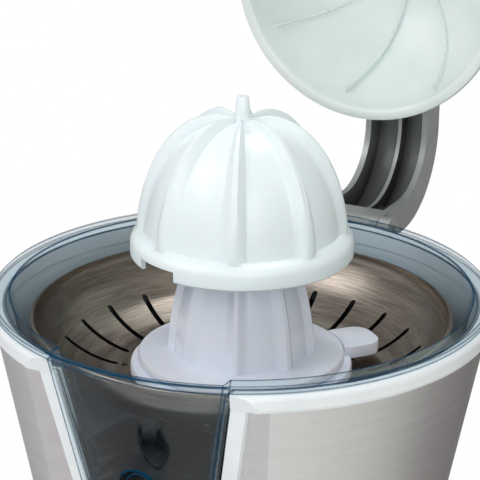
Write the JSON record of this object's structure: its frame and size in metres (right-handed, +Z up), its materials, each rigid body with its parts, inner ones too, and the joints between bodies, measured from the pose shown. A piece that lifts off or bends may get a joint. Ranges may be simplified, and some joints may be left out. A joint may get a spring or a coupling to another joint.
{
  "type": "citrus press juicer",
  "caption": "Lever citrus press: brushed steel cone body, clear juice container with front window, slotted sieve, stacked ribbed cones and a hinged arm with a press dome.",
  "frame": {"origin": "centre of the foot ring's rest face, on the reamer axis", "axes": "+Z up along the reamer axis, window and spout towards -Y, arm hinge towards +Y"},
  "size_m": [0.193, 0.2815, 0.387],
  "materials": {
    "steel": "circular brushed",
    "white": "satin gloss",
    "clear": "clear polished",
    "cone_white": "satin",
    "grey": "satin grey",
    "rubber": "matt",
    "inner": "matt",
    "bright": "bright",
    "bronze": "sintered",
    "nylon": "matt",
    "motor": "zinc grey"
  },
  "bodies": {
    "housing": {"base": "white", "base_plate": "inner", "foot_ring": "rubber", "base_screws": "bright", "cord_gland": "rubber", "steel_shell": "steel", "inner_housing": "inner", "top_bezel": "white", "hinge_bracket": "grey", "hinge_pin": "bright", "bracket_screws": "bright", "idler_shaft": "bright", "lower_gear_plate": "motor", "upper_gear_plate": "motor", "plate_posts": "bright", "deck_hangers": "inner", "spindle_bush": "bronze", "shaft_seal": "rubber", "motor_can": "motor"},
    "spindle": {"spindle": "bright", "output_gear": "nylon"},
    "idler": {"idler_gear": "nylon"},
    "armature": {"motor_armature": "bright"},
    "container": {"juice_container": "clear", "drip_pin": "bright"},
    "flap": {"drip_flap": "white"},
    "sieve": {"sieve": "steel"},
    "wiper": {"pulp_wiper": "cone_white"},
    "small_cone": {"small_cone": "cone_white"},
    "large_cone": {"large_cone": "cone_white"},
    "arm": {"press_arm": "grey", "press_dome": "white", "dome_screw": "bright"}
  },
  "joints": [
    {"name": "spindle_spin", "type": "hinge", "parent": "housing", "child": "spindle", "pos_m": [0, 0, 0.15], "axis": [0, 0, 1], "continuous": true},
    {"name": "idler_spin", "type": "hinge", "parent": "housing", "child": "idler", "pos_m": [0.035, 0, 0.145], "axis": [0, 0, 1], "continuous": true},
    {"name": "armature_spin", "type": "hinge", "parent": "housing", "child": "armature", "pos_m": [0.01572, 0.02298, 0.12], "axis": [0, 0, 1], "continuous": true},
    {"name": "container_lift", "type": "slide", "parent": "housing", "child": "container", "axis": [0, 0, 1], "range_m": [0, 0.07]},
    {"name": "flap_swing", "type": "hinge", "parent": "container", "child": "flap", "pos_m": [0, -0.1055, 0.19654], "axis": [-1, 0, 0], "range_deg": [0, 90]},
    {"name": "sieve_lift", "type": "slide", "parent": "container", "child": "sieve", "axis": [0, 0, 1], "range_m": [0, 0.04]},
    {"name": "wiper_spin", "type": "hinge", "parent": "sieve", "child": "wiper", "pos_m": [0, 0, 0.205], "axis": [0, 0, 1], "continuous": true},
    {"name": "small_cone_lift", "type": "slide", "parent": "wiper", "child": "small_cone", "axis": [0, 0, 1], "range_m": [0, 0.04]},
    {"name": "large_cone_press", "type": "slide", "parent": "small_cone", "child": "large_cone", "axis": [0, 0, 1], "range_m": [-0.038, 0]},
    {"name": "arm_swing", "type": "hinge", "parent": "housing", "child": "arm", "pos_m": [0, 0.1015, 0.228], "axis": [-1, 0, 0], "range_deg": [-92, 0]}
  ],
  "couplings": [
    {"joint": "idler_spin", "follows": "spindle_spin", "ratio": -3},
    {"joint": "armature_spin", "follows": "spindle_spin", "ratio": 9},
    {"joint": "wiper_spin", "follows": "spindle_spin", "ratio": 1},
    {"joint": "large_cone_press", "follows": "arm_swing", "m_per_rad": 0.023666}
  ]
}
